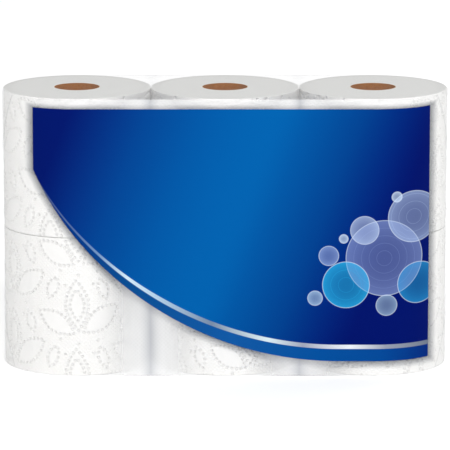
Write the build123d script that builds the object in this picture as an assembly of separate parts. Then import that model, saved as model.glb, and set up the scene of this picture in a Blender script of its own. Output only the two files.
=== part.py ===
"""Toilet paper roll pack: two tiers of three wound rolls, standing on end, in one tight film wrapper.

Frame: millimetres, +Z up, the printed front face looks along -Y, and the origin is at the centre of the base.
The rolls stand in two tiers with their cores upright. The film is one sheet: a sleeve round the front, top,
back and bottom, closed by a lap seam along the back. At each end its front and back panels lap over
each other round the end rolls, and its top and bottom corners are folded in as tongues.
"""

from build123d import *
import math
import os

# Rolls
ROLL_HEIGHT = 114.3  # width of a sheet, 4.5 in
ROLL_DIAMETER = 120.8
ROLL_EDGE_RADIUS = 1.6  # soft outer edge of a cut end
ROLL_GAP = 0.2  # between neighbours in a tier

# Cardboard cores
CORE_BORE = 36.5
CORE_WALL = 0.6
WINDING_CLEARANCE = 0.05  # between a core and the first turn of paper, on the radius

# Film wrapper
FILM_THICKNESS = 0.2
FILM_SLACK = 0.3  # between the film and the sides of the rolls
BACK_SEAM_WIDTH = 24.0
END_LAP_WIDTH = 28.0
TONGUE_WIDTH = 66.0  # at the edge that it folds over
TONGUE_DEPTH = 60.0

COLUMNS = ("left", "middle", "right")
TIERS = ("lower", "upper")

# What follows from these
ROLL_RADIUS = ROLL_DIAMETER / 2
ROLL_PITCH = ROLL_DIAMETER + ROLL_GAP
END_ROLL_X = ROLL_PITCH * (len(COLUMNS) - 1) / 2  # centre line of an end roll
CORE_RADIUS = CORE_BORE / 2 + CORE_WALL
ROLLS_BASE_Z = FILM_THICKNESS
ROLLS_TOP_Z = ROLLS_BASE_Z + ROLL_HEIGHT * len(TIERS)
SKIN_RADIUS = ROLL_RADIUS + FILM_SLACK  # inner face of the film round an end roll


def roll_place(column, tier):
    """Where the foot of a roll stands."""
    return Pos(ROLL_PITCH * column - END_ROLL_X, 0, ROLLS_BASE_Z + ROLL_HEIGHT * tier)


def tube(outer_radius, inner_radius):
    """An upright tube of the rolls' height, standing on z = 0."""
    blank = Cylinder(outer_radius, ROLL_HEIGHT, align=(Align.CENTER, Align.CENTER, Align.MIN))
    bore = Cylinder(inner_radius, ROLL_HEIGHT, align=(Align.CENTER, Align.CENTER, Align.MIN))
    return blank - bore


def wound_paper():
    """All the turns of one roll, with soft outer edges at both cut ends."""
    turns = tube(ROLL_RADIUS, CORE_RADIUS + WINDING_CLEARANCE)
    outer_edges = [
        edge
        for edge in turns.edges().filter_by(GeomType.CIRCLE)
        if math.isclose(edge.radius, ROLL_RADIUS, rel_tol=1e-6)
    ]
    return fillet(outer_edges, ROLL_EDGE_RADIUS)


def cardboard_core():
    """The tube that the paper is wound on, cut flush with it."""
    return tube(CORE_RADIUS, CORE_BORE / 2)


def skin_block(layers, low_z, high_z):
    """The space inside the film, grown sideways by some layers of it: a row of rolls drawn tight in outline."""
    radius = SKIN_RADIUS + layers * FILM_THICKNESS
    outline = SlotOverall(2 * (END_ROLL_X + radius), 2 * radius)
    return Pos(0, 0, low_z) * extrude(outline, high_z - low_z)


def rounded_skin_block(layers):
    """A skin block as tall as the film is there, its edges drawn over the soft edges of the rolls."""
    low_z = ROLLS_BASE_Z - layers * FILM_THICKNESS
    high_z = ROLLS_TOP_Z + layers * FILM_THICKNESS
    block = skin_block(layers, low_z, high_z)
    rims = block.faces().sort_by(Axis.Z)[0].edges() + block.faces().sort_by(Axis.Z)[-1].edges()
    return fillet(rims, ROLL_EDGE_RADIUS + FILM_SLACK + layers * FILM_THICKNESS)


def second_layer():
    """The ring outside the sleeve that laps and folds lie in, between the rounded edges."""
    edge_radius = ROLL_EDGE_RADIUS + FILM_SLACK + FILM_THICKNESS
    low_z = edge_radius
    high_z = ROLLS_TOP_Z + FILM_THICKNESS - edge_radius
    return skin_block(2, low_z, high_z) - skin_block(1, low_z, high_z), low_z, high_z


def folds_and_laps():
    """The areas of the sleeve where the film lies double: the back seam, the end laps and the tongues."""
    ring, low_z, high_z = second_layer()
    reach = END_ROLL_X + SKIN_RADIUS + 4 * FILM_THICKNESS  # past the outermost layer
    middle_z = (low_z + high_z) / 2
    seam_area = Pos(0, reach / 2, middle_z) * Box(2 * reach, reach, BACK_SEAM_WIDTH)
    end_areas = []
    for side in (-1, 1):
        half = Pos(side * (END_ROLL_X + reach) / 2, 0, 0)
        length = reach - END_ROLL_X
        lap = half * Pos(0, 0, middle_z) * Box(length, END_LAP_WIDTH, high_z - low_z)
        end_areas.append(lap)
        for base_z, tip_z in ((high_z, high_z - TONGUE_DEPTH), (low_z, low_z + TONGUE_DEPTH)):
            corners = [(-TONGUE_WIDTH / 2, base_z), (TONGUE_WIDTH / 2, base_z), (0, tip_z)]
            tongue_face = Plane.YZ * make_face(Polyline(*corners, close=True))
            end_areas.append(half * extrude(tongue_face, length / 2, both=True))
    doubled = ring & seam_area
    for area in end_areas:
        doubled += ring & area
    return doubled


def film_wrapper():
    """The closed film with its folds and laps, as one solid."""
    sleeve = rounded_skin_block(1) - rounded_skin_block(0)
    return sleeve + folds_and_laps()


def write(shape, node):
    """Writes one node, named in the file too."""
    shape.label = node
    export_step(shape, f"parts/{node}.step")


os.makedirs("parts", exist_ok=True)
for tier, tier_name in enumerate(TIERS):
    for column, column_name in enumerate(COLUMNS):
        place = roll_place(column, tier)
        write(place * wound_paper(), f"roll_{tier_name}_{column_name}")
        write(place * cardboard_core(), f"core_{tier_name}_{column_name}")
write(film_wrapper(), "film_wrapper")
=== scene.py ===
"""Toilet paper roll pack: six embossed rolls with cardboard cores in one printed clear film wrapper.

Lengths in the maker's tables are millimetres, and MM turns them to metres. The printed front looks along -Y.
"""

import math
from functools import partial

import bmesh
import bpy
import numpy as np
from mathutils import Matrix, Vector


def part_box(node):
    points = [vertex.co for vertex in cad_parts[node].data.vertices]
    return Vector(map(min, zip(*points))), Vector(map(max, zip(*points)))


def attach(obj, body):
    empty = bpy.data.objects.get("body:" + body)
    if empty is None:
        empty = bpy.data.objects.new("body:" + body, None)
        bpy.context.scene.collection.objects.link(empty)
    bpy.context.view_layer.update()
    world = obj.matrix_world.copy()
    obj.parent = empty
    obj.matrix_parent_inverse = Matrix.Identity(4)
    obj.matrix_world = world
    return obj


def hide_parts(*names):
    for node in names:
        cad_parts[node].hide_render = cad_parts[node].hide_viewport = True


bl_info = {
    "name": "Toilet Paper Roll Pack",
    "version": (1, 0, 0),
    "blender": (4, 5, 0),
    "location": "View3D > Sidebar > Roll Pack",
    "description": "Builds a film-wrapped pack of six toilet paper rolls around its packed model",
    "category": "Object",
}

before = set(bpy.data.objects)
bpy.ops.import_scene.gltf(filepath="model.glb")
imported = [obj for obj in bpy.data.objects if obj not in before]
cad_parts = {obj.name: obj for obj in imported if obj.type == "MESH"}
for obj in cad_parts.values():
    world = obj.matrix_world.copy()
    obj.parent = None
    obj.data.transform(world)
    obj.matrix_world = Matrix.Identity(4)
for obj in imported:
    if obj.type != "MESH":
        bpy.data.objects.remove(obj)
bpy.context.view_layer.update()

MM = 0.001
TOUCHING = 1e-5  # metres apart at which two heights are the same
COLUMNS = ("left", "middle", "right")
TIERS = ("lower", "upper")


def box_mm(node):
    """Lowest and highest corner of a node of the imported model, in millimetres."""
    low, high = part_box(node)
    return [value / MM for value in low], [value / MM for value in high]


ROLL_LOW, ROLL_HIGH = box_mm("roll_lower_middle")
CORE_LOW, CORE_HIGH = box_mm("core_lower_middle")
FILM_LOW, FILM_HIGH = box_mm("film_wrapper")
ROLL_RADIUS = (ROLL_HIGH[0] - ROLL_LOW[0]) / 2
ROLL_HEIGHT = ROLL_HIGH[2] - ROLL_LOW[2]
CORE_RADIUS = (CORE_HIGH[0] - CORE_LOW[0]) / 2
END_ROLL_X = (box_mm("roll_lower_right")[0][0] + box_mm("roll_lower_right")[1][0]) / 2
FILM_TOP = FILM_HIGH[2]
FILM_RADIUS = -FILM_LOW[1]  # of the sleeve round an end roll
ROLL_TURN = 2 * math.pi * ROLL_RADIUS


# ---- small tools


def linear(colour):
    """Linear RGB of an sRGB hex colour."""
    parts = [int(colour[i : i + 2], 16) / 255 for i in (0, 2, 4)]
    return tuple(c / 12.92 if c <= 0.04045 else ((c + 0.055) / 1.055) ** 2.4 for c in parts)


def rgba(colour):
    """A colour socket's value from linear RGB or from sRGB hex."""
    return (*(linear(colour) if isinstance(colour, str) else colour), 1.0)


# Settings that many nodes share: a straight line, the same held between 0 and 1, and a mix of two colours
LINE = {"operation": "MULTIPLY_ADD"}
CLAMPED_LINE = {"operation": "MULTIPLY_ADD", "use_clamp": True}
COLOUR_MIX = {"data_type": "RGBA", "out": 2}


def add_node(tree, kind, links=None, out=0, stops=None, smooth=False, **settings):
    """Adds a shader node with its settings, ramp stops and inputs: links, plain values or sRGB hex."""
    node = tree.nodes.new("ShaderNode" + kind)
    for name, value in settings.items():
        setattr(node, name, value)
    for socket, value in (links or {}).items():
        if isinstance(value, bpy.types.NodeSocket):
            tree.links.new(value, node.inputs[socket])
        else:
            node.inputs[socket].default_value = rgba(value) if isinstance(value, str) else value
    if stops:
        node.color_ramp.interpolation = "B_SPLINE" if smooth else "LINEAR"
        elements = node.color_ramp.elements
        while len(elements) < len(stops):
            elements.new(1.0)
        for element, (position, colour) in zip(elements, stops):
            element.position = position
            element.color = rgba(colour)
    return node.outputs[out] if node.outputs else node


def new_material(name):
    """An empty node material, and the function that adds nodes to it."""
    material = bpy.data.materials.new(name)
    material.use_nodes = True
    material.node_tree.nodes.clear()
    return material, partial(add_node, material.node_tree)


def start_clean():
    """Leaves edit mode with nothing selected, so that an operator acts on the new piece only."""
    if bpy.context.object and bpy.context.object.mode != "OBJECT":
        bpy.ops.object.mode_set(mode="OBJECT")
    bpy.ops.object.select_all(action="DESELECT")


def choose(piece):
    """Selects one piece only."""
    start_clean()
    bpy.context.view_layer.objects.active = piece
    piece.select_set(True)


def edit(piece):
    """Opens one piece in edit mode with nothing selected."""
    choose(piece)
    bpy.ops.object.mode_set(mode="EDIT")
    bpy.ops.mesh.select_all(action="DESELECT")


def pick(kind, test):
    """Selects the vertices, edges or faces in edit mode that pass a test. Some have to."""
    mesh = bmesh.from_edit_mesh(bpy.context.object.data)
    bpy.ops.mesh.select_mode(type={"verts": "VERT", "edges": "EDGE", "faces": "FACE"}[kind])
    bpy.ops.mesh.select_all(action="DESELECT")
    found = [item for item in getattr(mesh, kind) if test(item)]
    if not found:
        raise RuntimeError(f"found no {kind} to work on")
    for item in found:
        item.select_set(True)
    mesh.select_flush_mode()
    bmesh.update_edit_mesh(bpy.context.object.data)


def merge_and_face_out():
    """Merges what coincides, turns the faces outwards and leaves edit mode."""
    bpy.ops.mesh.select_all(action="SELECT")
    bpy.ops.mesh.remove_doubles(threshold=1e-6)
    bpy.ops.mesh.normals_make_consistent()
    bpy.ops.object.mode_set(mode="OBJECT")


def upright_tube(steps, radius, rows):
    """An open tube as tall as a roll, cut into level rows and still in edit mode."""
    start_clean()
    bpy.ops.mesh.primitive_cylinder_add(
        vertices=steps, radius=radius * MM, depth=ROLL_HEIGHT * MM, end_fill_type="NOTHING",
        location=(0, 0, ROLL_HEIGHT / 2 * MM),
    )
    bpy.ops.object.transform_apply()
    edit(bpy.context.object)
    pick("edges", lambda e: abs(e.verts[0].co.z - e.verts[1].co.z) > MM)
    bpy.ops.mesh.subdivide_edgering(number_cuts=rows - 1, interpolation="LINEAR")
    return bpy.context.object


def mark_ends(mesh, steepness):
    """Gives the second material to faces that look up or down."""
    ends = np.array([abs(face.normal.z) > steepness for face in mesh.polygons])
    mesh.polygons.foreach_set("material_index", ends.astype(np.int32))


def cut(point, normal, test=None, **keep):
    """Cuts the mesh in edit mode along a plane, in all its faces or in those that pass a test."""
    if test is None:
        bpy.ops.mesh.select_all(action="SELECT")
    else:
        pick("faces", test)
    bpy.ops.mesh.bisect(plane_co=point, plane_no=normal, **keep)


def read_points(mesh):
    """The vertices of a mesh as an array, in millimetres."""
    points = np.empty(len(mesh.vertices) * 3)
    mesh.vertices.foreach_get("co", points)
    return points.reshape(-1, 3) / MM


def write_points(mesh, points):
    """Puts the vertices of a mesh back."""
    mesh.vertices.foreach_set("co", (points * MM).ravel())
    mesh.update()


def store(mesh, name, values):
    """Keeps one number for each vertex, for a material to read."""
    attribute = mesh.attributes.new(name, "FLOAT", "POINT")
    attribute.data.foreach_set("value", np.asarray(values, np.float32))


def wrapped_uv(mesh, along, up):
    """A UV map in metres: round the axis, starting again at a full turn, and up it."""
    layer = mesh.uv_layers.new(name="wrap")
    loop_vertex = np.empty(len(mesh.loops), np.int32)
    mesh.loops.foreach_get("vertex_index", loop_vertex)
    starts = np.empty(len(mesh.polygons), np.int32)
    totals = np.empty(len(mesh.polygons), np.int32)
    mesh.polygons.foreach_get("loop_start", starts)
    mesh.polygons.foreach_get("loop_total", totals)
    turn = along.max() - along.min()
    u = along[loop_vertex]
    face_of_loop = np.repeat(np.arange(len(starts)), totals)
    highest = np.maximum.reduceat(u, starts)
    u = np.where(highest[face_of_loop] - u > turn / 2, u + turn, u)
    layer.data.foreach_set("uv", np.column_stack([u, up[loop_vertex]]).ravel() * MM)


def ripple(points, size, seed):
    """Smooth unevenness between about -1 and 1, with bumps of about that size."""
    source = np.random.default_rng(seed)
    total = np.zeros(len(points))
    waves = 7
    for _ in range(waves):
        direction = source.normal(size=3)
        direction /= np.linalg.norm(direction)
        wave_length = size * source.uniform(1.5, 3.0)
        total += np.sin(points @ direction * 2 * math.pi / wave_length + source.uniform(0, 2 * math.pi))
    return total / math.sqrt(waves)


def finish_piece(piece, node):
    """Hands a finished piece to the frame: it rides on the pack and stands for its node."""
    start_clean()
    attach(piece, "root")
    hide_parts(node)


def stand_copy(blank, node, stuff, turn):
    """A copy with a mesh of its own, at its node's place and turned so that no two line up."""
    choose(blank)
    bpy.ops.object.duplicate()
    piece = bpy.context.object
    piece.name = piece.data.name = f"{node}_{stuff}"
    low, high = box_mm(node)
    piece.location = ((low[0] + high[0]) / 2 * MM, (low[1] + high[1]) / 2 * MM, low[2] * MM)
    piece.rotation_euler = (0, 0, turn)
    bpy.ops.object.transform_apply()
    finish_piece(piece, node)


# ---- embossing

LEAF_COLUMNS = 6  # round a roll, every other one shifted by half a repeat
LEAF_ROWS = 2
DOT_SPACING = 3.9
DOT_RADIUS = 1.35
DOT_REACH = 3.0  # distance to the nearest dot is known up to here
LEAVES = (  # foot across and up from a repeat's middle, lean in degrees, length, width, inner leaf's share
    (0.0, -19.0, 3.0, 41.0, 19.0, 0.62),
    (-4.0, -22.0, 58.0, 34.0, 16.0, 0.0),
    (4.5, -21.0, -54.0, 36.0, 17.0, 0.0),
    (-25.0, 7.0, -22.0, 19.0, 9.0, 0.0),
    (24.0, 6.0, 20.0, 18.0, 8.5, 0.0),
)
LOOSE_DOTS = ((-15, -27), (16, -28), (0, 26.5), (-11, 18), (12.5, 19))
FINE_DOTS = 0.43  # to a millimetre, in tissue and film


def leaf_half_width(along, width):
    """Half of a leaf's width at a share of the way from its foot to its tip."""
    return width / 2 * np.sin(math.pi * np.clip(along, 0, 1)) ** 0.85


def leaf_outline(length, width, share):
    """Evenly spaced points round one leaf that stands on its foot, drawn in to a share of its size."""
    steps = np.linspace(0, 1, 200)
    side = np.column_stack([leaf_half_width(steps, width), steps * length])
    outline = np.vstack([side, side[::-1] * (-1, 1)]) * share + (0, length * (1 - share) / 2)
    walked = np.concatenate([[0], np.cumsum(np.linalg.norm(np.diff(outline, axis=0), axis=1))])
    count = round(walked[-1] / DOT_SPACING)
    at = np.linspace(0, walked[-1], count, endpoint=False)
    return np.column_stack([np.interp(at, walked, outline[:, k]) for k in (0, 1)])


def emboss(along, up):
    """Distance to the nearest pressed dot, and rise of the leaves from 0 to 1, on a roll's wound face."""
    repeat_width, repeat_height = ROLL_TURN / LEAF_COLUMNS, ROLL_HEIGHT / LEAF_ROWS
    column = np.floor(along / repeat_width)
    across = along - (column + 0.5) * repeat_width
    upward = (up + column % 2 * repeat_height / 2) % repeat_height - repeat_height / 2
    near = (-1, 0, 1)
    repeats = [(side * repeat_width, (row + side % 2 / 2) * repeat_height) for side in near for row in near]
    dots, pillow = [np.array(LOOSE_DOTS, float)], np.zeros(len(along))
    for foot_x, foot_y, lean, length, width, inner in LEAVES:
        turn = math.radians(lean)
        rows = np.array(((math.cos(turn), math.sin(turn)), (-math.sin(turn), math.cos(turn))))
        for share in (1.0, inner) if inner else (1.0,):
            dots.append(leaf_outline(length, width, share) @ rows + (foot_x, foot_y))
        for shift in repeats:
            inside = (np.column_stack([across, upward]) - shift - (foot_x, foot_y)) @ rows.T
            half_width = np.maximum(leaf_half_width(inside[:, 1] / length, width), 1e-3)
            rise = np.clip(1 - (inside[:, 0] / half_width) ** 2, 0, 1)
            pillow = np.maximum(pillow, np.where(inside[:, 1] * (length - inside[:, 1]) > 0, rise, 0))
    nearest = np.full(len(along), DOT_REACH)
    for shift in repeats:
        for x, y in np.vstack(dots) + shift:
            if abs(x) < repeat_width / 2 + DOT_REACH and abs(y) < repeat_height / 2 + DOT_REACH:
                nearest = np.minimum(nearest, np.hypot(across - x, upward - y))
    return nearest, pillow


# ---- settings


def colour_setting(name, description, colour):
    """A colour that can be set in the sidebar."""
    return bpy.props.FloatVectorProperty(
        name=name, description=description, subtype="COLOR", min=0, max=1, default=linear(colour)
    )


def length_setting(name, description, length):
    """A length in millimetres, kept in metres, that can be set in the sidebar."""
    return bpy.props.FloatProperty(
        name=name, description=description, subtype="DISTANCE", min=0, default=length * MM
    )


class RollSettings(bpy.types.PropertyGroup):
    """Sizes and colours of the tissue rolls."""

    tissue: colour_setting("Tissue", "Colour of the tissue", "F4F3F1")
    cut_end: colour_setting("Cut end", "Colour of the cut ends", "F2F2F0")
    dot_depth: length_setting("Dot depth", "Depth of an embossed dot", 0.45)
    pillow_height: length_setting("Pillow height", "Rise of an embossed leaf", 0.28)
    rim_radius: length_setting("Rim radius", "Softness of a cut end's edge", 1.4)


class CoreSettings(bpy.types.PropertyGroup):
    """Sizes and colours of the cardboard cores."""

    board: colour_setting("Board", "Colour of the core board", "A96408")
    wall: length_setting("Wall", "Thickness of a core's wall", 0.6)


class FilmSettings(bpy.types.PropertyGroup):
    """Sizes and colours of the film wrapper and its print."""

    wall: length_setting("Film", "Thickness that the film is drawn with", 0.2)
    bright: colour_setting("Bright blue", "Middle of the blue field", "005EA5")
    deep: colour_setting("Deep blue", "Ends of the blue field", "01095D")
    haze: bpy.props.FloatProperty(
        name="Haze", description="How milky the clear film is", subtype="FACTOR", min=0, max=1, default=0.008
    )


class StageSettings(bpy.types.PropertyGroup):
    """Floor and light."""

    floor: colour_setting("Floor", "Colour of the floor", "FCFCFC")
    key_power: bpy.props.FloatProperty(
        name="Key light", description="Power of the soft key light", subtype="POWER", min=0, default=57.0
    )
    room_light: bpy.props.FloatProperty(
        name="Room light", description="Strength of the even light all round", min=0, default=0.57
    )


# ---- materials


def fine_dots(add, place, to_a_unit, axis):
    """Fine dots on the bias, square to an axis: 1 in the middle of a dot and 0 between dots."""
    flat = [float(index != axis) for index in range(3)]
    bias = [math.radians(45) if index == axis else 0.0 for index in range(3)]
    scale = [to_a_unit * share for share in flat]
    cell = add("Mapping", {"Vector": place, "Rotation": bias, "Scale": scale})
    in_cell = add("VectorMath", {0: cell}, operation="FRACTION")
    middle = [share / 2 for share in flat]
    off_dot = add("VectorMath", {0: in_cell, 1: middle}, operation="DISTANCE", out="Value")
    return add("Math", {0: off_dot, 1: -3.6, 2: 1.5}, **CLAMPED_LINE)


def tissue_material(settings):
    """Two-ply tissue, creped, embossed and wound: matt and fibrous, with a faint weave of fine dots."""
    material, add = new_material("embossed_two_ply_tissue")
    wrap = add("UVMap", uv_map="wrap")
    fibres = add("TexNoise", {"Vector": wrap, "Scale": 1100.0, "Detail": 3.0, "Roughness": 0.65})
    cloud = add("TexNoise", {"Vector": wrap, "Scale": 55.0})
    # Fine dots are pressed outside the leaves
    dot = fine_dots(add, wrap, FINE_DOTS / MM, 2)
    ground = add("Attribute", attribute_name="ground", out="Fac")
    dot_there = add("Math", {0: dot, 1: ground}, operation="MULTIPLY")
    # The large dots outline the leaves: each is a small bowl with a crisp edge
    off_dot = add("Attribute", attribute_name="off_dot", out="Fac")
    in_bowl = add("Math", {0: off_dot, 1: -1 / DOT_RADIUS, 2: 1.0}, **CLAMPED_LINE)
    bowl = add("Math", {0: in_bowl, 1: 0.7}, operation="POWER")
    fibre_height = add("Math", {0: fibres, 1: 0.10}, operation="MULTIPLY")
    dented = add("Math", {0: dot_there, 1: -0.17, 2: fibre_height}, **LINE)
    height = add("Math", {0: bowl, 1: -0.62, 2: dented}, **LINE)
    bump = add("Bump", {"Height": height, "Distance": 1.6 * MM})
    # The bowls of the large dots are greyed with painted shade; the fine dots, the leaves and the wall next
    # to a cut end are a touch greyer
    pressed = add("Math", {0: bowl, 1: 0.12}, operation="MULTIPLY")
    grey_off_ground = add("Math", {0: ground, 1: -0.10, 2: 0.10}, **LINE)
    bowl_shade_and_grey = add("Math", {0: grey_off_ground, 1: pressed}, operation="ADD")
    grey = add("Math", {0: dot_there, 1: 0.03, 2: bowl_shade_and_grey}, **LINE)
    grey_cloud = add("Math", {0: cloud, 1: 0.14, 2: grey}, **CLAMPED_LINE)
    colour = add("Mix", {0: grey_cloud, 6: rgba(settings.tissue), 7: "CFCFCE"}, **COLOUR_MIX)
    shader = add(
        "BsdfPrincipled",
        {"Base Color": colour, "Roughness": 0.92, "Normal": bump, "Specular IOR Level": 0.2,
         "Subsurface Weight": 0.25, "Subsurface Radius": (1.0, 1.0, 1.0), "Subsurface Scale": 1.5 * MM},
    )
    add("OutputMaterial", {"Surface": shader})
    return material


def cut_end_material(settings):
    """Sawn end of a tightly wound roll: hundreds of paper edges that swallow light, in fine even rings."""
    material, add = new_material("sawn_tissue_edges")
    wrap = add("UVMap", uv_map="wrap")
    radius = add("SeparateXYZ", {0: wrap}).node.outputs[1]
    drift = add("TexNoise", {"Vector": wrap, "Scale": 60.0})
    # A turn is 0.27 mm thick, drawn here as one ring a millimetre so that rings show
    walked = add("Math", {0: drift, 1: 0.0006, 2: radius}, **LINE)
    rings = add(
        "TexNoise", {"W": walked, "Scale": 1300.0, "Detail": 3.0, "Roughness": 0.7}, noise_dimensions="1D"
    )
    fuzz = add("TexNoise", {"Vector": wrap, "Scale": 2300.0})
    height = add("Math", {0: fuzz, 1: 0.35, 2: rings}, **LINE)
    bump = add("Bump", {"Height": height, "Strength": 0.55, "Distance": 0.35 * MM})
    tone = add("Math", {0: height, 1: 0.55, 2: -0.15}, **CLAMPED_LINE)
    colour = add("Mix", {0: tone, 6: "E5E5E3", 7: rgba(settings.cut_end)}, **COLOUR_MIX)
    shader = add(
        "BsdfPrincipled",
        {"Base Color": colour, "Roughness": 0.95, "Normal": bump, "Specular IOR Level": 0.15},
    )
    add("OutputMaterial", {"Surface": shader})
    return material


STRIP_WIDTH = 74.0  # of the board that a core is wound from
STRIP_CLIMB = 0.63  # for each millimetre round the core: about its own width in a turn


def board_material(settings):
    """Recycled core board, wound on the spiral and glued: warm brown, flecked, with a seam that climbs."""
    material, add = new_material("spiral_wound_core_board")
    wrap = add("UVMap", uv_map="wrap")
    along, up, _ = add("SeparateXYZ", {0: wrap}).node.outputs
    climbed = add("Math", {0: along, 1: -STRIP_CLIMB, 2: up}, **LINE)
    strip = add("Math", {0: climbed, 1: STRIP_WIDTH * MM}, operation="WRAP")
    strip.node.inputs[2].default_value = 0.0
    off_seam = add("Math", {0: strip, 1: 1.2 * MM}, operation="DIVIDE", use_clamp=True)
    fibres = add(
        "TexNoise",
        {"Vector": add("Mapping", {"Vector": wrap, "Scale": (260, 900, 1)}), "Detail": 4.0,
         "Roughness": 0.7, "Scale": 1.0},
    )
    flecks = add("TexVoronoi", {"Vector": wrap, "Scale": 420.0})
    fleck = add("Math", {0: flecks, 1: 0.13}, operation="LESS_THAN")
    tone = add(
        "ValToRGB", {"Fac": fibres}, stops=[(0.25, "8C5006"), (0.55, settings.board), (0.8, "B87A1E")]
    )
    flecked = add(
        "Mix", {0: add("Math", {0: fleck, 1: 0.4}, operation="MULTIPLY"), 6: tone, 7: "5E4128"}, **COLOUR_MIX
    )
    seamed = add("Mix", {0: off_seam, 6: "6A4727", 7: flecked}, **COLOUR_MIX)
    height = add("Math", {0: fibres, 1: 0.3, 2: off_seam}, **LINE)
    bump = add("Bump", {"Height": height, "Strength": 0.8, "Distance": 0.2 * MM})
    shader = add(
        "BsdfPrincipled",
        {"Base Color": seamed, "Roughness": 0.86, "Normal": bump, "Specular IOR Level": 0.3},
    )
    add("OutputMaterial", {"Surface": shader})
    return material


def board_rim_material():
    """Sheared edge of the core board: paler than its faces and rough, because it shows torn fibres."""
    material, add = new_material("sheared_core_board_edge")
    wrap = add("UVMap", uv_map="wrap")
    fuzz = add("TexNoise", {"Vector": wrap, "Scale": 900.0, "Detail": 3.0})
    colour = add("ValToRGB", {"Fac": fuzz}, stops=[(0.3, "CDB08A"), (0.6, "E3CDB0"), (0.85, "F0E2CE")])
    bump = add("Bump", {"Height": fuzz, "Strength": 0.6, "Distance": 0.15 * MM})
    shader = add("BsdfPrincipled", {"Base Color": colour, "Roughness": 0.9, "Normal": bump})
    add("OutputMaterial", {"Surface": shader})
    return material


# Print on the film, in millimetres across from the middle and up from the base of the pack
PRINT_LEFT, PRINT_RIGHT, PRINT_TOP = -155.2, 165.8, 220.3
SWEEP_X = 93.0  # the curved edge and the stripe run level to the right of this
EDGE_CENTRE_Z, EDGE_RADIUS = 287.3, 274.8
STRIPE_CENTRE_Z, STRIPE_RADIUS = 311.7, 287.2
FIELD_LEAN = 0.387  # the bright axis moves this far across for each millimetre up
FIELD_AXIS_X = -44.4  # where the bright axis meets the base
FIELD_LEFT, FIELD_RIGHT = 155.0, 125.0  # the blue is deepest this far from the bright axis
SHADE_REACH = 6.8  # of the printed soft shade round the blue
BUBBLES = (  # across, up, radius, colour, strength
    (129.0, 98.0, 31.0, "7F92C8", 0.46),
    (153.0, 131.0, 21.0, "A9BEE4", 0.40),
    (98.0, 76.0, 19.0, "28AAE1", 0.55),
    (157.0, 76.0, 17.0, "2B9BDA", 0.45),
    (113.0, 121.0, 11.5, "B9CCEC", 0.42),
    (84.0, 100.0, 8.0, "8FA6D8", 0.50),
    (73.0, 65.0, 6.0, "A8C7E3", 0.55),
    (131.0, 59.0, 8.5, "A8C7E3", 0.40),
    (96.0, 114.0, 3.6, "C9DDF2", 0.60),
    (139.0, 148.0, 4.2, "C9DDF2", 0.55),
)
RIPPLED_BUBBLES = 3  # the first few carry fine rings


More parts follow.
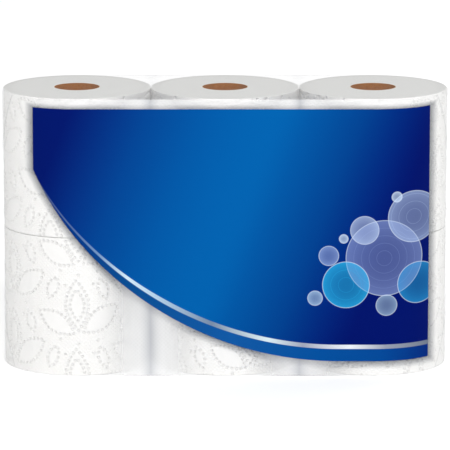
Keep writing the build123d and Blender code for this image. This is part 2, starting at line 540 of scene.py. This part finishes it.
def printed_colour(add, x, z, held, settings):
    """Ink: a blue field, bright along a leaning axis, with bubbles, a silver stripe and a band under it."""
    # Place across the leaning axis, as a share of the field's reach on both sides of it
    on_axis = add("Math", {0: z, 1: -FIELD_LEAN, 2: x}, **LINE)
    lengthened = math.hypot(1, FIELD_LEAN)
    span = (FIELD_LEFT + FIELD_RIGHT) * lengthened
    start = (FIELD_LEFT * lengthened - FIELD_AXIS_X) / span
    share = add("Math", {0: on_axis, 1: 1 / span, 2: start}, **CLAMPED_LINE)
    field = add(
        "ValToRGB", {"Fac": share}, smooth=True,
        stops=[
            (0.0, settings.deep), (0.11, "022B79"), (0.21, "013D87"), (0.36, "005099"),
            (0.553, settings.bright), (0.65, "005199"), (0.80, "003982"), (0.90, "002173"),
            (1.0, settings.deep),
        ],
    )
    plane = add("CombineXYZ", {0: x, 2: z})
    for index, (across, up, radius, colour, strength) in enumerate(BUBBLES):
        off = add("VectorMath", {0: plane, 1: (across, 0, up)}, operation="DISTANCE", out="Value")
        inside = add("Math", {0: off, 1: -3.0, 2: 3.0 * radius}, **CLAMPED_LINE)
        outwards = add("Math", {0: off, 1: 1 / radius}, operation="MULTIPLY")
        fuller = add("Math", {0: outwards, 1: 2.2}, operation="POWER")
        body = add("Math", {0: fuller, 1: 0.55 * strength, 2: 0.62 * strength}, **CLAMPED_LINE)
        if index < RIPPLED_BUBBLES:
            ring = add("Math", {0: off, 1: 3.1}, operation="PINGPONG")
            line = add("Math", {0: ring, 1: -3.4, 2: 1.0}, **CLAMPED_LINE)
            body = add("Math", {0: line, 1: 0.22, 2: body}, **CLAMPED_LINE)
        cover = add("Math", {0: inside, 1: body}, operation="MULTIPLY")
        field = add("Mix", {0: cover, 6: field, 7: rgba(colour)}, **COLOUR_MIX)
        edge = add("Math", {0: off, 1: radius}, operation="SUBTRACT")
        off_edge = add("Math", {0: edge}, operation="ABSOLUTE")
        rim = add("Math", {0: off_edge, 1: -1.3, 2: 0.62}, **CLAMPED_LINE)
        field = add("Mix", {0: rim, 6: field, 7: "D7E4F4"}, **COLOUR_MIX)
    # The stripe and the band below it follow one sweep
    out_from = add(
        "VectorMath", {0: held, 1: (SWEEP_X, 0, STRIPE_CENTRE_Z)}, operation="DISTANCE", out="Value"
    )
    below = add("Math", {0: out_from, 1: STRIPE_RADIUS}, operation="SUBTRACT")
    across_print = add("MapRange", {"Value": x, "From Min": PRINT_LEFT, "From Max": PRINT_RIGHT})
    band = add(
        "ValToRGB", {"Fac": across_print},
        stops=[
            (0.0, "011C6F"), (0.25, "094785"), (0.5, "0F5298"), (0.72, "034A92"), (0.88, "03438C"),
            (1.0, "032675"),
        ],
    )
    under = add("Math", {0: below, 1: 3.0}, operation="MULTIPLY", use_clamp=True)
    field = add("Mix", {0: under, 6: field, 7: band}, **COLOUR_MIX)
    # It widens to the right
    half_width = add(
        "MapRange", {"Value": x, "From Min": -155.0, "From Max": -50.0, "To Min": 0.3, "To Max": 1.8}
    )
    off_stripe = add("Math", {0: below}, operation="ABSOLUTE")
    left_over = add("Math", {0: half_width, 1: off_stripe}, operation="SUBTRACT")
    stripe = add("Math", {0: left_over, 1: 2.5, 2: 0.4}, **CLAMPED_LINE)
    silver = add(
        "ValToRGB", {"Fac": across_print},
        stops=[
            (0.02, "48587F"), (0.10, "4A6294"), (0.166, "6A8AB4"), (0.237, "C4D8E6"), (0.31, "A6C0D6"),
            (0.45, "6E8099"), (0.593, "CFDFE4"), (0.68, "969CAE"), (0.80, "E2E6EC"), (0.89, "8E94A4"),
            (1.0, "6A7484"),
        ],
    )
    return add("Mix", {0: stripe, 6: field, 7: silver}, **COLOUR_MIX)


# How much of what lies behind one wall of the film each of these covers
GLANCE_COVER, LAP_COVER, SEAL_COVER, EDGE_COVER = 0.06, 0.02, 0.06, 0.10
SHADE_COVER, MILK_COVER = 0.29, 0.50
SEAL_HALF_WIDTH, SEAL_RIDGE = 4.0, 0.8  # of the heat seal along the back, and of one of its ridges
# VALLEY_REACH is how far the painted shade beside a valley reaches
VALLEY_REACH = 10.0  # of the grey on both sides of the valley between two rolls


def film_material(settings):
    """Blown polyethylene film, drawn tight and printed: clear with a soft gloss, opaque where inked."""
    material, add = new_material("printed_polyethylene_film")
    place = add("TexCoord", out="Object")
    in_mm = add("VectorMath", {0: place, "Scale": 1 / MM}, operation="SCALE")
    x, y, z = add("SeparateXYZ", {0: in_mm}).node.outputs
    front = add("Math", {0: y, 1: 0.0}, operation="LESS_THAN")
    # Distance inside the print's outline: two upright sides, a level top and the swept lower edge
    held_x = add("Math", {0: x, 1: SWEEP_X}, operation="MINIMUM")
    held = add("CombineXYZ", {0: held_x, 2: z})
    out_from = add(
        "VectorMath", {0: held, 1: (SWEEP_X, 0, EDGE_CENTRE_Z)}, operation="DISTANCE", out="Value"
    )
    from_sweep = add("Math", {0: EDGE_RADIUS, 1: out_from}, operation="SUBTRACT")
    from_left = add("Math", {0: x, 1: PRINT_LEFT}, operation="SUBTRACT")
    from_right = add("Math", {0: PRINT_RIGHT, 1: x}, operation="SUBTRACT")
    from_top = add("Math", {0: PRINT_TOP, 1: z}, operation="SUBTRACT")
    from_sides = add("Math", {0: from_left, 1: from_right}, operation="MINIMUM")
    from_ends = add("Math", {0: from_sides, 1: from_top}, operation="MINIMUM")
    from_all = add("Math", {0: from_ends, 1: from_sweep}, operation="MINIMUM")
    inked = add("Math", {0: from_all, 1: 2.5, 2: 0.5}, **CLAMPED_LINE)
    ink_cover = add("Math", {0: inked, 1: front}, operation="MULTIPLY")
    # The printed shade fades out over a few millimetres, soonest above the blue
    above = add("Math", {0: from_top, 1: 1.7}, operation="MULTIPLY")
    beside = add("Math", {0: from_sides, 1: above}, operation="MINIMUM")
    shade_from = add("Math", {0: beside, 1: from_sweep}, operation="MINIMUM")
    faded = add("Math", {0: shade_from, 1: 1 / SHADE_REACH, 2: 1.0}, **CLAMPED_LINE)
    soft = add("Math", {0: faded, 1: 1.15}, operation="POWER")
    shade_front = add("Math", {0: soft, 1: front}, operation="MULTIPLY")
    shade = add("Math", {0: shade_front, 1: SHADE_COVER}, operation="MULTIPLY")

    ink = printed_colour(add, x, z, held, settings)
    speckle = add("TexNoise", {"Vector": in_mm, "Scale": 1.6, "Detail": 3.0})
    speckled = add(
        "Mix",
        {0: add("Math", {0: speckle, 1: 0.015}, operation="MULTIPLY"), 6: ink, 7: "2A6FC0"},
        **COLOUR_MIX,
    )
    colour = add("Mix", {0: ink_cover, 6: "4A5262", 7: speckled}, **COLOUR_MIX)

    # Slow draw marks along the web, and finer orange peel
    stretched = add("Mapping", {"Vector": in_mm, "Scale": (0.012, 0.05, 0.05)})
    draw_marks = add("TexNoise", {"Vector": stretched, "Scale": 1.0, "Detail": 3.0})
    peel = add("TexNoise", {"Vector": in_mm, "Scale": 0.35})
    sheet_height = add("Math", {0: peel, 1: 0.06, 2: draw_marks}, **LINE)
    # Heat-seal ridges along the back seam
    behind = add("Math", {0: y, 1: FILM_RADIUS - 1.5}, operation="GREATER_THAN")
    off_seam = add("Math", {0: z, 1: FILM_TOP / 2}, operation="SUBTRACT")
    seam_side = add("Math", {0: off_seam}, operation="ABSOLUTE")
    on_seam = add("Math", {0: seam_side, 1: SEAL_HALF_WIDTH}, operation="LESS_THAN")
    seam_there = add("Math", {0: on_seam, 1: behind}, operation="MULTIPLY")
    ridge = add("Math", {0: x, 1: SEAL_RIDGE}, operation="PINGPONG")
    ridges = add("Math", {0: ridge, 1: seam_there}, operation="MULTIPLY")
    height = add("Math", {0: ridges, 1: 0.08, 2: sheet_height}, **LINE)
    bump = add("Bump", {"Height": height, "Strength": 0.5, "Distance": 1.2 * MM})

    # Clear film shows more of itself at a glancing view, where it lies double and where it is sealed
    glance = add("LayerWeight", {"Blend": 0.35, "Normal": bump}, out="Fresnel")
    clear_cover = add("Math", {0: glance, 1: GLANCE_COVER, 2: settings.haze}, **LINE)
    doubled = add("Attribute", attribute_name="doubled", out="Fac")
    lapped_cover = add("Math", {0: doubled, 1: LAP_COVER, 2: clear_cover}, **LINE)
    sealed_cover = add("Math", {0: seam_there, 1: SEAL_COVER, 2: lapped_cover}, **LINE)
    # What clear film sends back is nearly all mirror, so its shader is, and its cover is how much that is
    clear = add(
        "BsdfPrincipled", {"Base Color": "F4F6F8", "Metallic": 0.7, "Roughness": 0.34, "Normal": bump}
    )
    through = add("BsdfTransparent")
    glossy = add("MixShader", {0: sealed_cover, 1: through, 2: clear})
    # Off the paper its haze scatters what lies behind it into a soft white
    off_paper = add("Attribute", attribute_name="off_paper", out="Fac")
    # The web is rolled with fine dots, which show in the white
    dot = fine_dots(add, in_mm, FINE_DOTS, 1)
    rolled = add("Bump", {"Height": dot, "Distance": 0.12 * MM, "Normal": bump})
    white = add(
        "Mix",
        {0: add("Math", {0: dot, 1: 0.2}, operation="MULTIPLY"), 6: "FFFFFF", 7: "E6E7E8"},
        **COLOUR_MIX,
    )
    # Painted shade: midway between two rolls, over the widest gap behind the film, its white is greyed for
    # the little light that comes back from there
    off_middle = add("Math", {0: x}, operation="ABSOLUTE")
    past_valley = add("Math", {0: off_middle, 1: END_ROLL_X / 2}, operation="SUBTRACT")
    off_valley = add("Math", {0: past_valley}, operation="ABSOLUTE")
    deep = add("Math", {0: off_valley, 1: -1 / VALLEY_REACH, 2: 1.0}, **CLAMPED_LINE)
    valley_shade = add("Math", {0: deep, 1: 1.5}, operation="POWER")
    white = add("Mix", {0: valley_shade, 6: white, 7: "D8DADE"}, **COLOUR_MIX)
    milk = add(
        "MixShader",
        {0: 0.05, 1: add("BsdfDiffuse", {"Color": white, "Normal": rolled}),
         2: add("BsdfTranslucent", {"Color": white, "Normal": rolled})},
    )
    milk_cover = add("Math", {0: off_paper, 1: MILK_COVER}, operation="MULTIPLY")
    milky = add("MixShader", {0: milk_cover, 1: glossy, 2: milk})
    # A cut edge or a fold shows as a fine grey line, painted shade for the light that the edge bends away
    off_edge = add("Attribute", attribute_name="off_lap_edge", out="Fac")
    edge_line = add("Math", {0: off_edge, 1: -2.0, 2: 1.0}, **CLAMPED_LINE)
    edge_cover = add("Math", {0: edge_line, 1: EDGE_COVER}, operation="MULTIPLY")
    edge_shade_tone = add("BsdfDiffuse", {"Color": "9AA0A8"})
    bare = add("MixShader", {0: edge_cover, 1: milky, 2: edge_shade_tone})
    ink_film = add(
        "BsdfPrincipled",
        {"Base Color": colour, "Roughness": 0.28, "Normal": bump, "Specular IOR Level": 0.012},
    )
    cover = add("Math", {0: ink_cover, 1: shade}, operation="MAXIMUM")
    surface = add("MixShader", {0: cover, 1: bare, 2: ink_film})
    add("OutputMaterial", {"Surface": surface})
    return material


def floor_material(settings):
    """Matt paint: pale and even, with the faintest grain, and lit from within a little to stay white."""
    material, add = new_material("matt_painted_floor")
    place = add("TexCoord", out="Object")
    grain = add("TexNoise", {"Vector": place, "Scale": 90.0})
    colour = add("Mix", {0: grain, 6: rgba(settings.floor), 7: "F8F8F8"}, **COLOUR_MIX)
    shader = add(
        "BsdfPrincipled",
        {"Base Color": colour, "Roughness": 0.9, "Specular IOR Level": 0.1,
         "Emission Color": (1, 1, 1, 1), "Emission Strength": 0.30},
    )
    add("OutputMaterial", {"Surface": shader})
    return material


# ---- pieces

ROUND_STEPS = 440  # round a roll
WALL_STEPS = 132  # up a roll
END_RINGS = 6
RIM_ROW = 0.4  # height of the row next to a cut end
RIM_FADE = 2.0  # the embossing fades out over this much at a cut end
WINDING_CLEARANCE = 0.05
TAIL_STEP = 0.28  # the last sheet's free edge stands this proud
UNEVENNESS, UNEVEN_SIZE = 0.12, 38.0  # of the wound face
ROLL_TURNS = (62, 20, 95, 41, 78, 3)  # degrees, lower tier first


class BuildRolls(bpy.types.Operator):
    """Winds one embossed roll, and stands a copy at each place in the pack"""

    bl_idname = "roll_pack.rolls"
    bl_label = "Tissue Rolls"

    def execute(self, context):
        settings = context.scene.roll_pack_rolls
        blank = upright_tube(ROUND_STEPS, ROLL_RADIUS, WALL_STEPS)
        for rim_z in (0.0, ROLL_HEIGHT * MM):
            # Each cut end is drawn in to the core, then divided into rings
            pick("edges", lambda e: e.is_boundary and all(abs(v.co.z - rim_z) < TOUCHING for v in e.verts))
            bpy.ops.mesh.extrude_region_move()
            inner = (CORE_RADIUS + WINDING_CLEARANCE) / ROLL_RADIUS
            bpy.ops.transform.resize(value=(inner, inner, 1), center_override=(0, 0, rim_z))
            pick(
                "edges",
                lambda e: all(abs(v.co.z - rim_z) < TOUCHING for v in e.verts)
                and abs(e.verts[0].co.xy.length - e.verts[1].co.xy.length) > MM,
            )
            bpy.ops.mesh.subdivide_edgering(number_cuts=END_RINGS - 1, interpolation="LINEAR")
        pick("edges", lambda e: e.is_boundary)
        bpy.ops.mesh.bridge_edge_loops()
        merge_and_face_out()
        self.shape(blank.data, settings)
        blank.data.materials.append(tissue_material(settings))
        blank.data.materials.append(cut_end_material(settings))
        bpy.ops.object.shade_smooth_by_angle(angle=math.radians(50))
        places = [f"roll_{tier}_{column}" for tier in TIERS for column in COLUMNS]
        for name, turn in zip(places, ROLL_TURNS):
            stand_copy(blank, name, "paper", math.radians(turn))
        bpy.data.objects.remove(blank)
        return {"FINISHED"}

    def shape(self, mesh, settings):
        """Presses the embossing in, rounds the rims, and marks cut ends for their own finish."""
        points = read_points(mesh)
        radius = np.hypot(points[:, 0], points[:, 1])
        angle = np.arctan2(points[:, 1], points[:, 0]) % (2 * math.pi)
        along, up = angle * ROLL_RADIUS, points[:, 2].copy()
        on_wall = radius > ROLL_RADIUS - 0.01
        to_rim = np.minimum(up, ROLL_HEIGHT - up)
        off_dot, pillow = emboss(along, up)
        pits = np.clip(1 - (off_dot / DOT_RADIUS) ** 2, 0, 1)
        fade = np.clip(to_rim / RIM_FADE, 0, 1) * on_wall
        # The row next to a cut end moves close to it, so that the rim is crisp
        row = ROLL_HEIGHT / WALL_STEPS
        next_row = on_wall & (np.abs(to_rim - row) < 0.1)
        points[:, 2] -= next_row * np.sign(ROLL_HEIGHT / 2 - up) * (row - RIM_ROW)
        rim_drop = np.where(to_rim < 0.1, settings.rim_radius / MM, next_row * 0.15)
        tail = TAIL_STEP * np.clip(1 - along / (ROLL_TURN * 0.3), 0, 1)
        move = fade * (pillow * settings.pillow_height - pits * settings.dot_depth) / MM
        move += on_wall * (UNEVENNESS * (ripple(points, UNEVEN_SIZE, 5) - 1) - tail - rim_drop)
        stretch = 1 + move / np.maximum(radius, 1)
        points[:, :2] *= stretch[:, None]
        # Cut ends are a little uneven, by turns that slipped as they were wound
        on_end = ~on_wall & (radius > CORE_RADIUS + 1)
        slip = 0.09 * np.sin(radius * 1.3) + 0.07 * ripple(points, 30.0, 8)
        points[:, 2] -= on_end * np.sign(up - ROLL_HEIGHT / 2) * np.abs(slip)
        write_points(mesh, points)
        store(mesh, "off_dot", np.where(on_wall & (to_rim > 0.8), off_dot, DOT_REACH))
        store(mesh, "ground", np.clip(1 - pillow * 4, 0, 1) * fade)
        wrapped_uv(mesh, along, np.where(on_wall, up, radius))
        mark_ends(mesh, 0.7)


CORE_STEPS, CORE_ROWS = 72, 12  # round a core and up it
CORE_EDGE = 0.12
CORE_SQUEEZE = 0.04


class BuildCores(bpy.types.Operator):
    """Winds one cardboard core, and stands a copy in each roll"""

    bl_idname = "roll_pack.cores"
    bl_label = "Cardboard Cores"

    def execute(self, context):
        settings = context.scene.roll_pack_cores
        blank = upright_tube(CORE_STEPS, CORE_RADIUS, CORE_ROWS)
        merge_and_face_out()
        wall = blank.modifiers.new("board", "SOLIDIFY")
        wall.thickness = settings.wall
        wall.offset = -1
        soft = blank.modifiers.new("sheared_edge", "BEVEL")
        soft.width = CORE_EDGE * MM
        soft.segments = 2
        for modifier in ("board", "sheared_edge"):
            bpy.ops.object.modifier_apply(modifier=modifier)
        mesh = blank.data
        points = read_points(mesh)
        angle = np.arctan2(points[:, 1], points[:, 0]) % (2 * math.pi)
        radius = np.hypot(points[:, 0], points[:, 1])
        # A core is never quite round inside its roll
        squeeze = CORE_SQUEEZE * (1 + np.sin(2 * angle + points[:, 2] / 40))
        points[:, :2] *= (1 - squeeze / radius)[:, None]
        write_points(mesh, points)
        wrapped_uv(mesh, angle * CORE_RADIUS, points[:, 2])
        mesh.materials.append(board_material(settings))
        mesh.materials.append(board_rim_material())
        mark_ends(mesh, 0.4)
        bpy.ops.object.shade_smooth_by_angle(angle=math.radians(40))
        for name in [f"core_{tier}_{column}" for tier in TIERS for column in COLUMNS]:
            foot = box_mm(name)[0]
            stand_copy(blank, name, "board", (foot[0] + foot[2]) % 3)
        bpy.data.objects.remove(blank)
        return {"FINISHED"}


CURVE_STEPS = 128
SHEET_STEP = 4.0
FILM_EDGE_RADIUS = 1.9
FILM_CLEARANCE = 0.6  # film this close to a roll lies on it
HAZE_REACH = 13.0  # the film turns milky as it stands off the paper by about this much
BACK_MILK, CAP_MILK, RIM_MILK = 0.6, 0.20, 0.6  # behind, on top and below the front's rim; 1 in front
CORE_SAG = 0.7
PUCKER, SMALL_PUCKER = 0.12, 0.08
LAP_LIFT = 0.2
TONGUE_WIDTH, TONGUE_DEPTH = 66.0, 60.0
END_LAP_WIDTH, BACK_SEAM_WIDTH = 28.0, 24.0


class BuildFilm(bpy.types.Operator):
    """Draws the film sleeve round the rolls, then laps, folds and seals it"""

    bl_idname = "roll_pack.film"
    bl_label = "Film Wrapper"

    def execute(self, context):
        settings = context.scene.roll_pack_film
        wrapper = self.sleeve(context)
        middle = FILM_TOP / 2
        top, bottom = FILM_TOP - FILM_EDGE_RADIUS, FILM_EDGE_RADIUS
        half_seam, half_lap = BACK_SEAM_WIDTH / 2, END_LAP_WIDTH / 2
        edit(wrapper)
        self.lap(
            [((0, 0, middle + half_seam), (0, 0, 1)), ((0, 0, middle - half_seam), (0, 0, 1))],
            lambda x, y, z: y > 0,
            lambda x, y, z: y > 2 and abs(z - middle) < half_seam,
        )
        self.lap(
            [((0, half_lap, 0), (0, 1, 0)), ((0, -half_lap, 0), (0, 1, 0))],
            lambda x, y, z: abs(x) > END_ROLL_X,
            lambda x, y, z: abs(x) > END_ROLL_X and abs(y) < half_lap and bottom < z < top,
        )
        slant = TONGUE_WIDTH / 2 / TONGUE_DEPTH
        for foot, upward in ((top, 1), (bottom, -1)):
            tip = foot - upward * TONGUE_DEPTH
            self.lap(
                [((0, 0, tip), (0, 1, -upward * slant)), ((0, 0, tip), (0, -1, -upward * slant))],
                lambda x, y, z: abs(x) > END_ROLL_X and upward * (z - tip) > -5,
                lambda x, y, z: abs(x) > END_ROLL_X
                and abs(y) < slant * upward * (z - tip)
                and upward * (foot - z) > 0,
            )
        bpy.ops.object.mode_set(mode="OBJECT")
        self.mark(wrapper.data)
        self.crease(wrapper.data)
        wall = wrapper.modifiers.new("film", "SOLIDIFY")
        wall.thickness = settings.wall
        wall.offset = -1
        bpy.ops.object.modifier_apply(modifier="film")
        bpy.ops.object.shade_smooth_by_angle(angle=math.radians(35))
        wrapper.name = wrapper.data.name = "printed_film"
        wrapper.data.materials.append(film_material(settings))
        finish_piece(wrapper, "film_wrapper")
        return {"FINISHED"}

    def sleeve(self, context):
        """The tight outline of a row of rolls with rounded rims, cut into small steps to take creases."""
        start_clean()
        bpy.ops.mesh.primitive_cylinder_add(
            vertices=CURVE_STEPS, radius=FILM_RADIUS * MM, depth=FILM_TOP * MM, end_fill_type="NGON",
            location=(0, 0, FILM_TOP / 2 * MM), rotation=(0, 0, math.pi / CURVE_STEPS),
        )
        sleeve = context.object
        bpy.ops.object.transform_apply()
        edit(sleeve)
        for side in (-1, 1):
            pick("verts", lambda v: side * v.co.x > 0)
            bpy.ops.transform.translate(value=(side * END_ROLL_X * MM, 0, 0))
        pick("edges", lambda e: abs(e.verts[0].co.z - e.verts[1].co.z) < 1e-6)
        bpy.ops.mesh.bevel(offset=FILM_EDGE_RADIUS * MM, segments=4)

        def on_cap(face):
            heights = [vert.co.z for vert in face.verts]
            level = abs(face.normal.z) > 0.999
            return level and (min(heights) > FILM_TOP * MM - TOUCHING or max(heights) < TOUCHING)

        reach = int(FILM_RADIUS // SHEET_STEP)
        for step in range(-reach, reach + 1):
            cut((0, step * SHEET_STEP * MM, 0), (0, 1, 0), on_cap)
        for side in (-1, 1):
            for step in range(1, reach + 1):
                cut((side * (END_ROLL_X + step * SHEET_STEP) * MM, 0, 0), (1, 0, 0), on_cap)
        across = round(2 * END_ROLL_X / SHEET_STEP)
        for step in range(1, across):
            cut((END_ROLL_X * (2 * step / across - 1) * MM, 0, 0), (1, 0, 0))
        up = round(FILM_TOP / SHEET_STEP)
        for step in range(1, up):
            cut((0, 0, FILM_TOP * step / up * MM), (0, 0, 1))
        merge_and_face_out()
        return sleeve

    def lap(self, scores, near, inside):
        """Scores the outline of a lap or fold into the sleeve's wall, and lifts the double film in it."""

        def in_mm(face, test):
            return abs(face.normal.z) < 0.1 and test(*(value / MM for value in face.calc_center_median()))

        for point, normal in scores:
            cut([value * MM for value in point], normal, lambda face: in_mm(face, near))
        pick("faces", lambda face: in_mm(face, inside))
        bpy.ops.mesh.extrude_region()
        bpy.ops.transform.shrink_fatten(value=LAP_LIFT * MM)

    def mark(self, mesh):
        """Keeps, for the film's finish, where it is double or off the paper, and how near a lap's edge."""
        x, y, z = read_points(mesh).T
        off_skin = np.hypot(np.maximum(np.abs(x) - END_ROLL_X, 0), y) - FILM_RADIUS
        store(mesh, "doubled", np.clip(off_skin / LAP_LIFT, 0, 2))
        # How far the film stands off the nearest roll, as a share of the haze that this gives it
        nearest_centre = np.round(np.clip(x / END_ROLL_X, -1, 1)) * END_ROLL_X
        stand_off = np.clip(np.hypot(x - nearest_centre, y) - ROLL_RADIUS - FILM_CLEARANCE, 0, None)
        on_wall = (z > FILM_EDGE_RADIUS / 2) & (z < FILM_TOP - FILM_EDGE_RADIUS / 2)
        behind = BACK_MILK * np.clip((FILM_TOP - z - 5.0) / 12.0, 0, 1)
        share = np.where(on_wall, np.where(y < 0, 1.0, behind), CAP_MILK)
        # Drawn over the front's top rims, it also lifts off the paper just below them
        near_top, near_front = (z - FILM_TOP + 14.0) / 8.0, (-y - 40.0) / 15.0
        lifted = RIM_MILK * np.clip(near_top, 0, 1) * np.clip(near_front, 0, 1) * on_wall
        milky = (1 - np.exp(-((stand_off / HAZE_REACH) ** 2))) * share
        store(mesh, "off_paper", np.maximum(milky, lifted))
        store(mesh, "off_lap_edge", self.lap_edge_distance(x, y, z))

    def crease(self, mesh):
        """Sags the film into the open cores, and puckers it gently where its ends are folded."""
        points = read_points(mesh)
        x, y, z = points.T
        for centre in (-END_ROLL_X, 0, END_ROLL_X):
            off = np.hypot(x - centre, y) / CORE_RADIUS
            sag = CORE_SAG * np.clip(1 - off**2, 0, 1)
            z -= np.where(z > FILM_TOP - 0.5, sag, 0) - np.where(z < 0.5, sag * 0.6, 0)
        past = np.clip((np.abs(x) - END_ROLL_X) / FILM_RADIUS, 0, 1)
        near_fold = past**6
        fan = np.arctan2(y, np.minimum(z, FILM_TOP - z) + 12)
        pucker = PUCKER * (1 + np.sin(fan * 26 + 1.5 * np.sin(z / 17)))
        pucker += SMALL_PUCKER * (1 + ripple(points, 16, 3))
        x += np.sign(x) * near_fold * np.maximum(pucker, 0)
        write_points(mesh, points)

    def lap_edge_distance(self, x, y, z):
        """Distance from each point of the film to the nearest edge of a lap or a fold, in millimetres."""
        far = 9.0
        top, bottom = FILM_TOP - FILM_EDGE_RADIUS, FILM_EDGE_RADIUS
        past_end = np.abs(x) > END_ROLL_X - 0.1
        seam = np.where(y > 2, np.abs(np.abs(z - FILM_TOP / 2) - BACK_SEAM_WIDTH / 2), far)
        end_lap = np.where(past_end, np.abs(np.abs(y) - END_LAP_WIDTH / 2), far)
        slant = TONGUE_WIDTH / 2 / TONGUE_DEPTH
        nearest = np.minimum(seam, end_lap)
        for from_foot in (top - z, z - bottom):
            across = slant * (TONGUE_DEPTH - from_foot)
            fold = np.where(past_end & (across > -1) & (from_foot > -1), np.abs(np.abs(y) - across), far)
            nearest = np.minimum(nearest, fold / math.hypot(1, slant))
        return nearest


SOFTBOXES = (  # name, place in metres, share of the key light's power, size in metres
    ("key_softbox", (0.35, -2.8, 2.2), 1.0, 1.1),
    ("fill_softbox", (1.9, 2.4, 1.9), 0.30, 1.6),
)
CAMERA_LENS = 333.7
CAMERA_AWAY, CAMERA_LIFT = 3.432, math.radians(11.207)  # metres from the pack's middle, and angle above it
AIM_DROP = 1.1  # millimetres below the middle that the camera looks at


class BuildStage(bpy.types.Operator):
    """Lays a pale floor, and sets the soft light and the camera"""

    bl_idname = "roll_pack.stage"
    bl_label = "Stage"

    def execute(self, context):
        settings = context.scene.roll_pack_stage
        start_clean()
        bpy.ops.mesh.primitive_circle_add(vertices=96, radius=14.0, fill_type="NGON")
        floor = context.object
        floor.name = "studio_floor"
        edit(floor)
        pick("faces", lambda f: True)
        bpy.ops.mesh.inset(thickness=9.0)
        bpy.ops.mesh.inset(thickness=3.5)
        bpy.ops.object.mode_set(mode="OBJECT")
        floor.data.materials.append(floor_material(settings))
        self.light_room(context, settings)
        self.place_camera(context)
        return {"FINISHED"}

    def light_room(self, context, settings):
        """Even white light all round, with a soft key light in front and a weaker one behind."""
        world = bpy.data.worlds.new("white_room")
        world.use_nodes = True
        world.node_tree.nodes.clear()
        add = partial(add_node, world.node_tree)
        sky = add("Background", {"Color": (1, 1, 1, 1), "Strength": settings.room_light})
        add("OutputWorld", {"Surface": sky})
        context.scene.world = world
        context.scene.view_settings.view_transform = "Standard"

        for name, place, share, size in SOFTBOXES:
            bpy.ops.object.light_add(type="AREA", location=place)
            lamp = context.object
            lamp.name = name
            lamp.data.energy = settings.key_power * share
            lamp.data.size = size
            self.aim(lamp)

    def aim(self, thing):
        """Turns a lamp or the camera to the pack."""
        towards = Vector((0, 0, (FILM_TOP / 2 - AIM_DROP) * MM)) - thing.location
        thing.rotation_euler = towards.to_track_quat("-Z", "Y").to_euler()

    def place_camera(self, context):
        """A camera with a long lens, in front of the pack and a little above it."""
        back = CAMERA_AWAY * math.cos(CAMERA_LIFT)
        up = FILM_TOP / 2 * MM + CAMERA_AWAY * math.sin(CAMERA_LIFT)
        bpy.ops.object.camera_add(location=(0, -back, up))
        camera = context.object
        camera.name = "front_camera"
        camera.data.sensor_width = 36.0
        camera.data.lens = CAMERA_LENS
        self.aim(camera)
        context.scene.camera = camera


class RollPackPanel(bpy.types.Panel):
    """Lists the settings and the build steps in the sidebar"""

    bl_idname = "VIEW3D_PT_roll_pack"
    bl_label = "Roll Pack"
    bl_space_type = "VIEW_3D"
    bl_region_type = "UI"
    bl_category = "Roll Pack"

    def draw(self, context):
        for settings_name, operator in STEPS:
            box = self.layout.box()
            settings = getattr(context.scene, settings_name)
            for name in settings.__annotations__:
                box.prop(settings, name)
            box.operator(operator.bl_idname)


SETTINGS = {
    "roll_pack_rolls": RollSettings,
    "roll_pack_cores": CoreSettings,
    "roll_pack_film": FilmSettings,
    "roll_pack_stage": StageSettings,
}
STEPS = (
    ("roll_pack_rolls", BuildRolls),
    ("roll_pack_cores", BuildCores),
    ("roll_pack_film", BuildFilm),
    ("roll_pack_stage", BuildStage),
)


def register():
    for name, kind in SETTINGS.items():
        bpy.utils.register_class(kind)
        setattr(bpy.types.Scene, name, bpy.props.PointerProperty(type=kind))
    for _, operator in STEPS:
        bpy.utils.register_class(operator)
    bpy.utils.register_class(RollPackPanel)


def unregister():
    bpy.utils.unregister_class(RollPackPanel)
    for _, operator in STEPS:
        bpy.utils.unregister_class(operator)
    for name, kind in SETTINGS.items():
        delattr(bpy.types.Scene, name)
        bpy.utils.unregister_class(kind)


def main():
    register()
    bpy.ops.roll_pack.rolls()
    bpy.ops.roll_pack.cores()
    bpy.ops.roll_pack.film()
    bpy.ops.roll_pack.stage()


if __name__ == "__main__":
    main()
